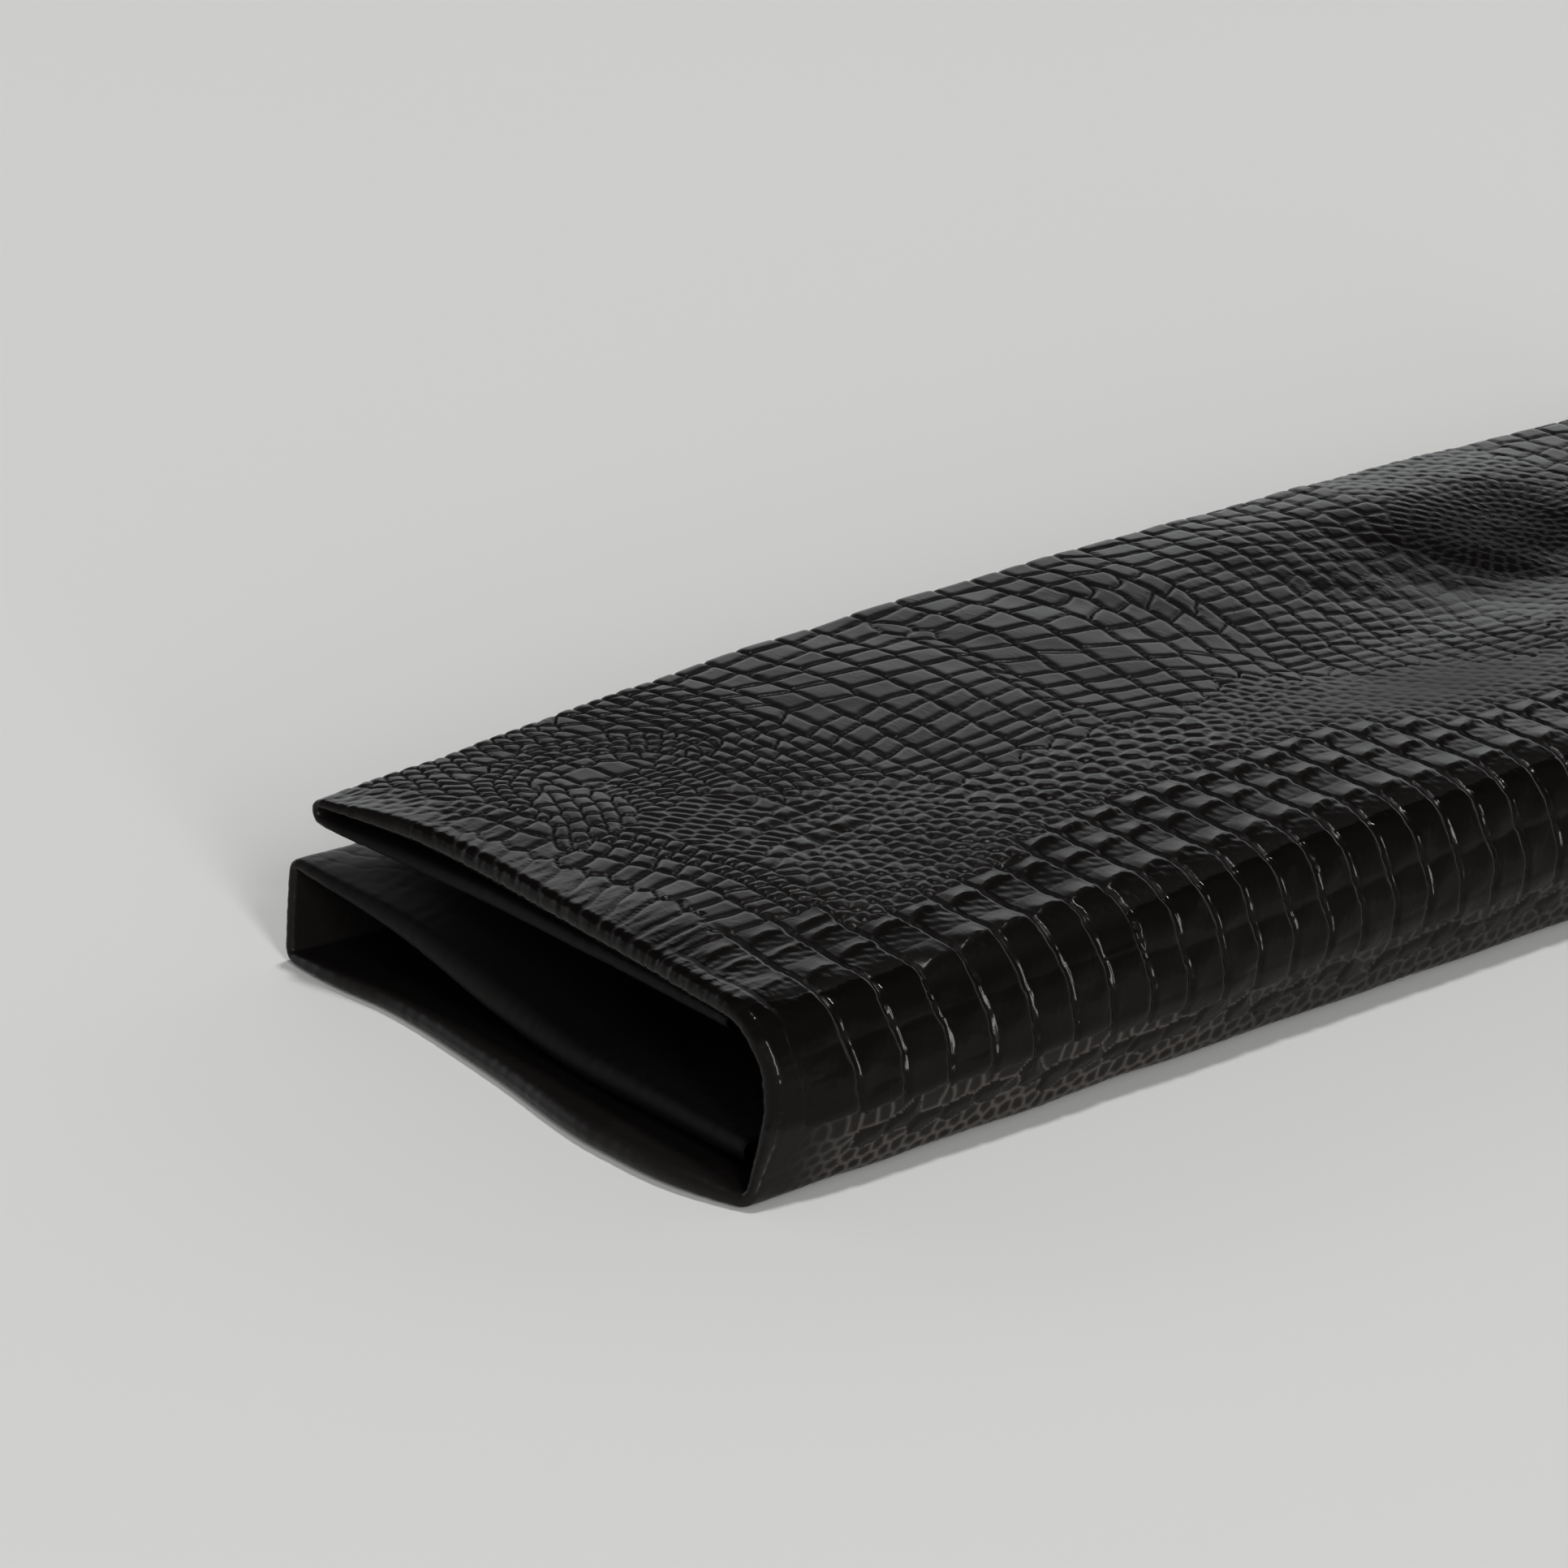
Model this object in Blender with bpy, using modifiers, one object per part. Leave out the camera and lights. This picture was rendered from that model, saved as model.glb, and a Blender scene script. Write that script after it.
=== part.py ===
"""A leather hide, folded into a long flat packet, as one sheet of leather.

The hide is folded in half end to end, so each layer of the packet is a pair of sheets that join in a soft roll at
the near end. The doubled hide is then folded across its width like a gate, and once more at the spine. Seen from
the near end, the section is a spiral: second panel, tip, top panel, spine, bottom panel, left wall, middle panel.

Units in the tables are millimetres. "Along" runs from the near end to the far end, "across" from the spine to the
left side, and "height" up from the surface that the packet lies on.
"""

import math
from collections import namedtuple

import bmesh
import bpy
import numpy as np

MM = 0.001

# The leather
SHEET = 1.5  # thickness of the leather
PAIR_GAP = 0.5  # air between the two sheets of a pair, flesh side to flesh side
PACKET_LENGTH = 850.0
INNER_END_SHORT = 9.0  # how much shorter the inner sheet of the pair ends at the far end
FLARE = 34.0  # how far behind the near roll the two sheets take to close up
MIDDLE = SHEET / 2  # a sheet's middle line lies this far above its underside

# The fold: one row for each turn of the section's outer sheet, in the order in which the leather runs.
# reach: how far before and after its corner the turn starts and ends, so on a square corner it is the radius.
# arc and run: how many steps the turn and the run after it take.
# setback: how far the near roll lies behind the near end. roll: its radius, on the sheet's middle line.
Turn = namedtuple("Turn", "name reach arc run setback roll")
TURNS = (
    #     name          reach arc run setback roll
    Turn("second_end",    0,   0,  2,  18.0,  2.7),
    Turn("second_mid",   35,   2,  1,  20.0,  3.0),
    Turn("second_low",   28,   3,  1,  17.0,  3.0),
    Turn("tip_lower",   4.4,   4,  1,   5.2,  1.3),
    Turn("tip_upper",   4.4,   4,  1,   5.2,  1.3),
    Turn("top_left",     28,   3,  1,  14.5,  3.8),
    Turn("top_mid",      35,   2,  1,  13.5,  4.6),
    Turn("spine_top",    25,   5,  1,   9.5,  4.6),
    Turn("spine_mid",    10,   2,  1,   9.6,  5.2),
    Turn("spine_bottom",  7,   4,  1,  -3.0,  2.4),
    Turn("under_spine",   0,   0,  1, -12.5,  3.8),
    Turn("under_right",   0,   0,  1, -15.5,  4.2),
    Turn("under_middle",  0,   0,  1,  -6.0,  4.0),
    Turn("under_left",    0,   0,  1,  -1.0,  3.4),
    Turn("under_wall",    0,   0,  1,  -4.0,  3.0),
    Turn("left_bottom",   6,   4,  1,  -2.5,  2.0),
    Turn("left_top",    5.5,   4,  1,   1.0,  2.0),
    Turn("middle_left",  28,   2,  1,   7.0,  4.6),
    Turn("middle_slope", 26,   2,  1,   8.5,  6.8),
    Turn("middle_low",   20,   3,  2,   9.0,  6.4),
    Turn("middle_end",    0,   0,  0,  10.0,  5.0),
)

# The course of each turn along the packet: how far across its corner lies, and how high, at these distances.
ALONG = (0, 60, 170, 340, 560, 850)
FLAT = (MIDDLE,) * len(ALONG)  # the height of a sheet that lies on the surface
COURSE = {
    # name: (across, height)
    "second_end": ((38, 36, 34, 32, 30, 30), (56.4, 57.5, 59.5, 60.5, 59.5, 58)),
    "second_mid": ((130, 130, 130, 130, 130, 130), (55.4, 57, 59.5, 60, 58.5, 56)),
    "second_low": ((240, 240, 240, 240, 240, 240), (54.5, 56, 59.5, 62, 60, 57)),
    "tip_lower": ((292, 295, 300, 302, 302, 301), (64.7, 66, 69.5, 73.3, 71, 65)),
    "tip_upper": ((292, 295, 300, 302, 302, 301), (73.7, 75, 78.5, 82.3, 80, 74)),
    "top_left": ((240, 240, 240, 240, 240, 240), (77.5, 78.5, 80.5, 82.5, 80.5, 76)),
    "top_mid": ((120, 120, 120, 120, 120, 120), (76.6, 77.6, 79.5, 81, 79.5, 76)),
    "spine_top": ((4, 0, -4, -4.5, -4.5, -4), (73.6, 75, 77, 78, 77, 74)),
    "spine_mid": ((-2.6, -5.5, -8, -8.5, -8, -7), (36, 36, 37, 38, 37, 36)),
    "spine_bottom": ((-2.5, -4.4, -4.6, -4.6, -4.6, -4), FLAT),
    "under_spine": ((30, 30, 30, 30, 30, 30), FLAT),
    "under_right": ((75, 75, 75, 75, 75, 75), FLAT),
    "under_middle": ((160, 160, 160, 160, 160, 160), FLAT),
    "under_left": ((235, 235, 235, 235, 235, 235), FLAT),
    "under_wall": ((275, 275, 275, 275, 275, 275), FLAT),
    "left_bottom": ((303.8, 303, 302, 301, 301, 301), FLAT),
    "left_top": ((304.2, 303.5, 302.5, 302, 302, 301), (45.4, 46.5, 50, 54, 53, 49)),
    "middle_left": ((240, 240, 240, 240, 240, 240), (40, 42, 47, 51.5, 50, 46.5)),
    "middle_slope": ((175, 175, 175, 175, 175, 175), (28.6, 31, 37, 43, 42, 39)),
    "middle_low": ((125, 125, 115, 110, 110, 110), (21, 19, 23, 31, 32, 30)),
    "middle_end": ((17, 17, 17, 17, 17, 17), (20.5, 13, 9, 12, 15, 15)),
}

# The mesh
ROWS_ALONG = (0, 7, 16, 28, 48, 80, 130, 200, 290, 400, 530, 680)  # the mesh's rows, from behind the near roll
ROLL_STEPS = 6  # rows round the near roll
ARC_SHARE = 0.6  # of the count from one turn to the next, by which the points are numbered, an arc takes this share
LEAST_BEND = 1e-5  # radians: a turn that is straighter than this is rounded as if it bent this much

LEATHER_COLOUR = (0.012, 0.011, 0.0105, 1.0)


def ease(share):
    """A share from 0 to 1, eased in and out."""
    return share * share * (3 - 2 * share)


def through(x, stations, values):
    """A smooth curve through a short table: cubic between stations, its slopes taken from the neighbours."""
    stations = np.asarray(stations, float)
    values = np.asarray(values, float)
    slopes = np.gradient(values, stations, axis=0)
    i = int(np.clip(np.searchsorted(stations, x, side="right") - 1, 0, len(stations) - 2))
    span = stations[i + 1] - stations[i]
    t = (x - stations[i]) / span
    leave = t * (1 - t) ** 2 * span * slopes[i]
    arrive = t * t * (t - 1) * span * slopes[i + 1]
    return values[i] + (values[i + 1] - values[i]) * ease(t) + leave + arrive


def turned(path, corner, after, reach, steps):
    """Add the arc that rounds one corner of a path: its points, the way the path runs there, and turn numbers."""
    way_in = corner - path["end"]
    way_in /= np.linalg.norm(way_in)
    way_out = after - corner
    way_out /= np.linalg.norm(way_out)
    left = np.array((-way_in[1], way_in[0]))
    angle = math.atan2(way_out @ left, way_out @ way_in)
    bend = max(abs(angle), LEAST_BEND)
    side = left * math.copysign(1, angle)
    radius = reach / math.tan(bend / 2)
    start = corner - way_in * reach
    shares = [k / steps for k in range(steps + 1)] if steps else [0.5]
    for share in shares:
        swing = bend * share
        path["points"].append(start + radius * (math.sin(swing) * way_in + (1 - math.cos(swing)) * side))
        path["ways"].append(math.cos(swing) * way_in + math.sin(swing) * side)
        path["turns"].append(path["turn"] + ARC_SHARE * (share - 0.5))
    path["end"] = corner
    path["turn"] += 1


def section(along):
    """The outer sheet's middle line at one distance along: its points, their normals and their turn numbers."""
    corners = [through(along, ALONG, np.transpose(COURSE[turn.name])) for turn in TURNS]
    first_way = (corners[1] - corners[0]) / np.linalg.norm(corners[1] - corners[0])
    path = {"points": [corners[0]], "ways": [first_way], "turns": [0.0], "end": corners[0], "turn": 1}
    for i in range(1, len(TURNS)):
        mark = len(path["points"])
        if i < len(TURNS) - 1:
            turned(path, corners[i], corners[i + 1], TURNS[i].reach, TURNS[i].arc)
        else:
            path["points"].append(corners[i])
            path["ways"].append(path["ways"][-1])
            path["turns"].append(float(i))
        steps = TURNS[i - 1].run
        for name in ("points", "ways", "turns"):
            first, last = path[name][mark - 1], path[name][mark]
            path[name][mark:mark] = [first + (last - first) * k / steps for k in range(1, steps)]
    points = np.array(path["points"])
    ways = np.array(path["ways"])
    # The grain side is to the right of the way that the leather runs.
    normals = np.stack((ways[:, 1], -ways[:, 0]), axis=1)
    return points, normals, np.array(path["turns"])


def rows():
    """The mesh's rows: from the outer sheet's far end, round the near roll, to the inner sheet's far end."""
    outer = [("outer", behind) for behind in (PACKET_LENGTH, *reversed(ROWS_ALONG))]
    roll = [("roll", 180 * k / ROLL_STEPS) for k in range(1, ROLL_STEPS)]
    inner = [("inner", behind) for behind in (*ROWS_ALONG, PACKET_LENGTH)]
    return outer + roll + inner


def place(column, row, setback, roll):
    """Where one point of the hide lies: its row says how far along, its column how far round the section."""
    kind, value = row
    if kind == "roll":
        swing = math.radians(value)
        along = setback + roll * (1 - math.sin(swing))
        depth = roll * (1 - math.cos(swing))
    else:
        behind = min(value, PACKET_LENGTH - setback - roll)
        if kind == "inner" and value == PACKET_LENGTH:
            behind -= INNER_END_SHORT
        along = setback + roll + behind
        # The inner sheet leaves the roll a full turn below the outer one, and closes up to it.
        closing = ease(min(behind / FLARE, 1.0))
        depth = 0.0 if kind == "outer" else 2 * roll + (SHEET + PAIR_GAP - 2 * roll) * closing
    points, normals, _ = section(along)
    across, height = points[column] - normals[column] * depth
    return np.array((along, across, height)) * MM


def hide_mesh():
    """The hide as an open sheet: a flat grid, folded by placing its points."""
    points, _, turn_numbers = section(0)
    lines = rows()
    columns = len(turn_numbers)
    mesh = bpy.data.meshes.new("hide")
    bm = bmesh.new()
    bmesh.ops.create_grid(bm, x_segments=columns - 1, y_segments=len(lines) - 1, size=1)
    lengths = np.concatenate(((0,), np.cumsum(np.linalg.norm(np.diff(points, axis=0), axis=1))))
    turn_lengths = np.interp(range(len(TURNS)), turn_numbers, lengths)
    setbacks = [turn.setback for turn in TURNS]
    rolls = [turn.roll for turn in TURNS]
    for vert in bm.verts:
        column = round((vert.co.x + 1) / 2 * (columns - 1))
        line = round((vert.co.y + 1) / 2 * (len(lines) - 1))
        setback = through(lengths[column], turn_lengths, setbacks)
        roll = through(lengths[column], turn_lengths, rolls)
        vert.co = place(column, lines[line], setback, roll)
    bmesh.ops.recalc_face_normals(bm, faces=bm.faces)
    bm.to_mesh(mesh)
    bm.free()
    return mesh


def leather():
    """Black glazed leather."""
    material = bpy.data.materials.new("black_glazed_leather")
    material.use_nodes = True
    shader = material.node_tree.nodes["Principled BSDF"]
    shader.inputs["Base Color"].default_value = LEATHER_COLOUR
    shader.inputs["Roughness"].default_value = 0.3
    shader.inputs["Metallic"].default_value = 0.0
    return material


def centred(item):
    """Put the origin under the middle of the finished sheet, on the surface that it lies on."""
    bpy.context.view_layer.update()
    solid = item.evaluated_get(bpy.context.evaluated_depsgraph_get())
    points = np.array([vert.co for vert in solid.data.vertices])
    middle = (points.min(axis=0) + points.max(axis=0)) / 2
    item.location = (-middle[0], -middle[1], 0)


def build():
    for item in list(bpy.data.objects):
        bpy.data.objects.remove(item, do_unlink=True)
    collection = bpy.data.collections.new("leather_hide")
    bpy.context.scene.collection.children.link(collection)
    hide = bpy.data.objects.new("hide", hide_mesh())
    collection.objects.link(hide)
    hide.data.materials.append(leather())
    hide.data.shade_smooth()
    wall = hide.modifiers.new("Thickness", "SOLIDIFY")
    wall.thickness = SHEET * MM
    wall.offset = 0
    centred(hide)


build()
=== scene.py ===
# %% [markdown]
# # A folded leather hide, embossed with crocodile scales
#
# The object is one cowhide of about 1.3 m by 1.7 m. It is folded in half end to end, so that every layer
# of the packet is a pair of sheets that join in a soft roll at the near end, and the doubled hide is then
# folded across its width into a flat spiral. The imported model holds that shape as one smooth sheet, 1.5
# mm thick.
#
# This script dresses it. Leather is a surface with one continuous pattern, so the way taken here is to
# design the pattern once on the flat hide, in millimetres, and to carry it round the folds with one
# function. The scales are real relief in the mesh, and only the fine creases and pores are left to the
# material.

import math
from collections import namedtuple

import bmesh
import bpy
import numpy as np
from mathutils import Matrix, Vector, kdtree


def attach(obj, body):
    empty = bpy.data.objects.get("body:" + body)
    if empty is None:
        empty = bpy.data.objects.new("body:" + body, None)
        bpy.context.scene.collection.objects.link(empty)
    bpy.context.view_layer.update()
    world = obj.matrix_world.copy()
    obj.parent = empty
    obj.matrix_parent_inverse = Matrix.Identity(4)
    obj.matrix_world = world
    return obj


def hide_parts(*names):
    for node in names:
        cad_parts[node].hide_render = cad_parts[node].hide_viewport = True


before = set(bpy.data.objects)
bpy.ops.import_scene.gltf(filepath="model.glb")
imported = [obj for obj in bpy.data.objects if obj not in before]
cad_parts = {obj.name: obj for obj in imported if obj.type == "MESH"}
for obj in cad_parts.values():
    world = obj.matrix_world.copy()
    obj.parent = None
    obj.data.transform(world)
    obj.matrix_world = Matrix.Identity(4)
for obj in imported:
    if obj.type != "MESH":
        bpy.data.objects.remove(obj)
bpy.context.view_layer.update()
MM = 0.001

# %% [markdown]
# ## The camera
#
# The photo looks at the packet's near end from the left and from a little above. A long lens keeps its
# edges almost parallel. The camera is placed by the direction it looks in, its distance and the point on
# the floor under the middle of the picture, which is easier to adjust than a location and three angles.

# %% Place the camera
PHOTO_PIXELS = 1932
FOCAL_PIXELS = 8452
SENSOR_MM = 36.0
LOOK_AZIMUTH = math.radians(38.91)
LOOK_DOWN = math.radians(22.17)
LOOK_DISTANCE = 3.0
LOOK_AT = Vector((-0.1384, 0.1772, 0.0))

camera = bpy.data.objects.new("camera", bpy.data.cameras.new("camera"))
camera.data.sensor_width = SENSOR_MM
camera.data.lens = SENSOR_MM * FOCAL_PIXELS / PHOTO_PIXELS
camera.data.clip_end = 50.0
look = Vector((
    math.sin(LOOK_AZIMUTH) * math.cos(LOOK_DOWN),
    math.cos(LOOK_AZIMUTH) * math.cos(LOOK_DOWN),
    -math.sin(LOOK_DOWN),
))
camera.location = LOOK_AT - look * LOOK_DISTANCE
camera.rotation_mode = "QUATERNION"
camera.rotation_quaternion = look.to_track_quat("-Z", "Y")
bpy.context.scene.collection.objects.link(camera)
bpy.context.scene.camera = camera
print("lens, mm:", round(camera.data.lens, 1))

# %% [markdown]
# ## The fold
#
# Seen from the near end, the leather runs in a spiral: second panel, tip, top panel, spine, bottom panel,
# left wall, middle panel. The table holds one row for each turn of that spiral, with the place of its
# corner at six distances along the packet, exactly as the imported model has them. Everything is in
# millimetres from the near end (along), the spine (across) and the floor (height).

# %% The fold, as a table of turns
SHEET = 1.5  # thickness of the leather
PAIR_GAP = 0.5  # air between the two sheets of a pair
PACKET_LENGTH = 850.0
INNER_END_SHORT = 9.0  # the inner sheet of a pair ends this much before the outer one
FLARE = 34.0  # behind the near roll, the two sheets take this far to close up
PACKET_ORIGIN = np.array((-0.41688, -0.14805, 0.0))  # where the table's zero lies in the frame, in metres

ALONG = (0, 60, 170, 340, 560, 850)
FLAT = (SHEET / 2,) * len(ALONG)
# reach: how far from its corner a turn starts. setback and roll: how far the near roll lies behind the near
# end, and its radius. Then the corner, across and high, at each distance in ALONG.
Turn = namedtuple("Turn", "name reach setback roll across height")
TURNS = (
    Turn("second_end", 0, 18, 2.7, (38, 36, 34, 32, 30, 30), (56.4, 57.5, 59.5, 60.5, 59.5, 58)),
    Turn("second_mid", 35, 20, 3, (130,) * 6, (55.4, 57, 59.5, 60, 58.5, 56)),
    Turn("second_low", 28, 17, 3, (240,) * 6, (54.5, 56, 59.5, 62, 60, 57)),
    Turn("tip_lower", 4.4, 5.2, 1.3, (292, 295, 300, 302, 302, 301), (64.7, 66, 69.5, 73.3, 71, 65)),
    Turn("tip_upper", 4.4, 5.2, 1.3, (292, 295, 300, 302, 302, 301), (73.7, 75, 78.5, 82.3, 80, 74)),
    Turn("top_left", 28, 14.5, 3.8, (240,) * 6, (77.5, 78.5, 80.5, 82.5, 80.5, 76)),
    Turn("top_mid", 35, 13.5, 4.6, (120,) * 6, (76.6, 77.6, 79.5, 81, 79.5, 76)),
    Turn("spine_top", 25, 9.5, 4.6, (4, 0, -4, -4.5, -4.5, -4), (73.6, 75, 77, 78, 77, 74)),
    Turn("spine_mid", 10, 9.6, 5.2, (-2.6, -5.5, -8, -8.5, -8, -7), (36, 36, 37, 38, 37, 36)),
    Turn("spine_bottom", 7, -3, 2.4, (-2.5, -4.4, -4.6, -4.6, -4.6, -4), FLAT),
    Turn("under_spine", 0, -12.5, 3.8, (30,) * 6, FLAT),
    Turn("under_right", 0, -15.5, 4.2, (75,) * 6, FLAT),
    Turn("under_middle", 0, -6, 4, (160,) * 6, FLAT),
    Turn("under_left", 0, -1, 3.4, (235,) * 6, FLAT),
    Turn("under_wall", 0, -4, 3, (275,) * 6, FLAT),
    Turn("left_bottom", 6, -2.5, 2, (303.8, 303, 302, 301, 301, 301), FLAT),
    Turn("left_top", 5.5, 1, 2, (304.2, 303.5, 302.5, 302, 302, 301), (45.4, 46.5, 50, 54, 53, 49)),
    Turn("middle_left", 28, 7, 4.6, (240,) * 6, (40, 42, 47, 51.5, 50, 46.5)),
    Turn("middle_slope", 26, 8.5, 6.8, (175,) * 6, (28.6, 31, 37, 43, 42, 39)),
    Turn("middle_low", 20, 9, 6.4, (125, 125, 115, 110, 110, 110), (21, 19, 23, 31, 32, 30)),
    Turn("middle_end", 0, 10, 5, (17,) * 6, (20.5, 13, 9, 12, 15, 15)),
)
print(len(TURNS), "turns")

# %% [markdown]
# Three helpers are used from here to the end: a share that eases in and out, a slow random wave, so that
# nothing is ruler-straight, and a smooth curve through the values of a short table.

# %% Smooth steps, waves and curves
WAVE_SINES = 5
WAVE_HEIGHT = 2.6  # what the sum of the sines is divided by, so that it seldom passes 1


def ease(share):
    """A share from 0 to 1, eased in and out."""
    share = np.clip(share, 0.0, 1.0)
    return share * share * (3 - 2 * share)


def step(value, start, stop):
    """0 at start, 1 at stop, and smooth between."""
    return ease((value - start) / (stop - start))


def wave(a, b, length, seed):
    """A slow random wave over the hide, about -1 to 1: a few sines with their own directions."""
    draw = np.random.default_rng(seed)
    total = np.zeros(np.shape(a))
    for turn in draw.uniform(0, 2 * math.pi, WAVE_SINES):
        pace = 2 * math.pi / (length * draw.uniform(0.7, 1.5))
        total += np.sin(pace * (a * math.cos(turn) + b * math.sin(turn)) + draw.uniform(0, 6.28))
    return total / WAVE_HEIGHT


def through(x, places, values):
    """A smooth curve through a short table: cubic between places, its slopes taken from the neighbours."""
    places = np.asarray(places, float)
    values = np.asarray(values, float)
    slopes = np.gradient(values, places)
    i = np.clip(np.searchsorted(places, x, side="right") - 1, 0, len(places) - 2)
    span = places[i + 1] - places[i]
    t = (x - places[i]) / span
    leave = t * (1 - t) ** 2 * span * slopes[i]
    arrive = t * t * (t - 1) * span * slopes[i + 1]
    return values[i] + (values[i + 1] - values[i]) * t * t * (3 - 2 * t) + leave + arrive


print("eased, from 0 to 1:", [round(float(ease(k / 4)), 2) for k in range(5)])

# %% [markdown]
# The section at one distance along is the line through the table's corners, with each corner rounded by
# an arc. The arcs are drawn with many short steps, because glossy leather shows every flat facet. A
# smooth cubic carries each corner from one distance in the table to the next.

# %% Sections along the packet
ARC_STEPS = 14
LEAST_BEND = 1e-6  # radians: a turn that is straighter than this is drawn as a straight line
STATION_STEP = 10.0
STATION_PLACES = np.arange(0.0, PACKET_LENGTH + STATION_STEP, STATION_STEP)


def section(along):
    """The outer sheet's middle line at one distance: its points, normals, and each turn's middle point."""
    corners = [np.array((through(along, ALONG, t.across), through(along, ALONG, t.height))) for t in TURNS]
    ways = [(after - corner) / np.linalg.norm(after - corner) for corner, after in zip(corners, corners[1:])]
    points, headings, middles = [corners[0]], [ways[0]], [0]
    for corner, turn, way_in, way_out in zip(corners[1:-1], TURNS[1:-1], ways, ways[1:]):
        left = np.array((-way_in[1], way_in[0]))
        bend = math.atan2(way_out @ left, way_out @ way_in)
        steps = ARC_STEPS if turn.reach else 0
        radius = turn.reach / math.tan(abs(bend) / 2) if steps and abs(bend) > LEAST_BEND else 0.0
        for k in range(steps + 1):
            share = k / steps if steps else 0.5
            swing = bend * share
            # A chord of the arc: it starts at the corner less the reach, and turns by half the swing.
            half = swing / 2
            chord_way = math.cos(half) * way_in + math.sin(half) * left
            chord = 2 * radius * abs(math.sin(half)) if radius else 2 * turn.reach * share
            points.append(corner - way_in * turn.reach + chord_way * chord)
            headings.append(math.cos(swing) * way_in + math.sin(swing) * left)
        middles.append(len(points) - 1 - steps // 2)
    points.append(corners[-1])
    headings.append(ways[-1])
    middles.append(len(points) - 1)
    headings = np.array(headings)
    return np.array(points), np.stack((headings[:, 1], -headings[:, 0]), axis=1), middles


stations = [section(along) for along in STATION_PLACES]
section_points = np.array([points for points, _, _ in stations])
section_normals = np.array([normals for _, normals, _ in stations])
middles = stations[0][2]
print("sections:", section_points.shape)

# %% [markdown]
# Two numbers name a place on the flat hide: `a`, how far across it, counted from the second panel's edge,
# and `b`, how far along it, counted from the middle of the near roll, positive on the outer sheet of the
# pair and negative on the inner one.

# %% Places on the flat hide
REFERENCE = 17  # the station, 170 mm along, where the section is measured to name places across the hide
steps_across = np.linalg.norm(np.diff(section_points[REFERENCE], axis=0), axis=1)
across_hide = np.concatenate(((0.0,), np.cumsum(steps_across)))
turn_places = across_hide[middles]
AT = {turn.name: place for turn, place in zip(TURNS, turn_places)}
HIDE_WIDTH = across_hide[-1]


def near_roll(a):
    """The near roll's setback and radius at a place across the hide."""
    setback = through(a, turn_places, [t.setback for t in TURNS])
    return setback, through(a, turn_places, [t.roll for t in TURNS])


def far_end(a):
    """How far along the hide the packet's far end lies."""
    setback, roll = near_roll(a)
    return PACKET_LENGTH - setback - roll + math.pi / 2 * roll


HIDE_HALF = float(far_end(AT["top_mid"]))  # the flat hide's nominal half length
print("flat hide, mm:", round(HIDE_WIDTH), "by", round(2 * HIDE_HALF))

# %% [markdown]
# Folded leather is never quite flat. The packet's top sinks where the hide is thin, as at a limb. It is
# fullest along its middle and rounds off towards the spine, and below the bend the side leans out. A
# place is named here in a second way, which the embossing uses too: `x` from the near end, and `y` from
# over the spine.

# %% Hollows and swellings
NOSE = 11.0  # the near roll's middle lies this far behind the near end
RIDGE = AT["top_mid"] + 120  # the place across the hide that lies over the spine
SWAY_LONG, SWAY_SHORT = 0.40, 0.14  # mm, the height of two slow waves
CROWN = 1.3  # mm by which the top is fuller along its middle, 90 mm from the ridge
SHOULDER = 3.0  # mm by which it rounds off towards the spine
SIDE_OUT = 4.8  # mm by which the side leans out, down to its widest place, 40 mm above the floor
SIDE_IN = 2.8  # mm by which it comes back below that
MIDDLE_RISE = 6.5  # mm by which the middle panel rises behind its near roll, which turns it dark
MIDDLE_CALM = 0.7  # the share of all else here that the middle panel lacks
Patch = namedtuple("Patch", "x y wide high amount")
HOLLOWS = (
    # Amount is the depth in mm, and a negative one rises. The first is where a limb was: its far slope
    # faces the camera and goes dark.
    Patch(516, 135, 130, 82, 11.5),
    Patch(595, 172, 75, 45, 5.5),
    Patch(600, 266, 75, 30, -3.0),
    Patch(490, 262, 100, 38, -2.6),
    Patch(118, 240, 45, 40, 2.2),
    Patch(255, 225, 75, 60, -1.2),
)


def within(patch, x, y, power=1):
    """1 in the middle of a patch and 0 well past its half widths. A power of 2 makes it level on top."""
    u = ((x - patch.x) / patch.wide) ** 2
    v = ((y - patch.y) / patch.high) ** 2
    return np.exp(-(u ** power + v ** power))


def sway(a, b):
    """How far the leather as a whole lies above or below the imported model's sheet, in mm."""
    x = b + NOSE
    y = RIDGE - a
    lift = SWAY_LONG * wave(a, b, 95, 5) + SWAY_SHORT * wave(a, b, 33, 6)
    for hollow in HOLLOWS:
        lift = lift - hollow.amount * within(hollow, x, y)
    out = SIDE_OUT * step(y, -10, -41) - SIDE_IN * step(y, -43, -66)
    lift = lift + CROWN * np.exp(-(((y - 90) / 42) ** 2)) - SHOULDER * step(y, 80, -4) + out
    past_wall = step(a, AT["left_top"] + 2, AT["middle_left"] - 25)
    middle = past_wall * step(a, AT["middle_slope"], AT["middle_left"])
    return lift * (1 - MIDDLE_CALM * middle) + MIDDLE_RISE * middle * step(x, 5, 80) * step(x, 600, 250)


print("depth of the hollow at x 516, y 135, mm:", round(-float(sway(RIDGE - 135, 516 - NOSE)), 1))

# %% [markdown]
# The function `folded` takes a place on the flat hide, and a height above the sheet's middle on its grain
# side, to a point of the packet. It is the only place in the script where the fold is worked out.

# %% From the flat hide to the packet
BLEND_FROM = 400.0  # from here on, the cut end is eased to the packet's square far end


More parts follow.
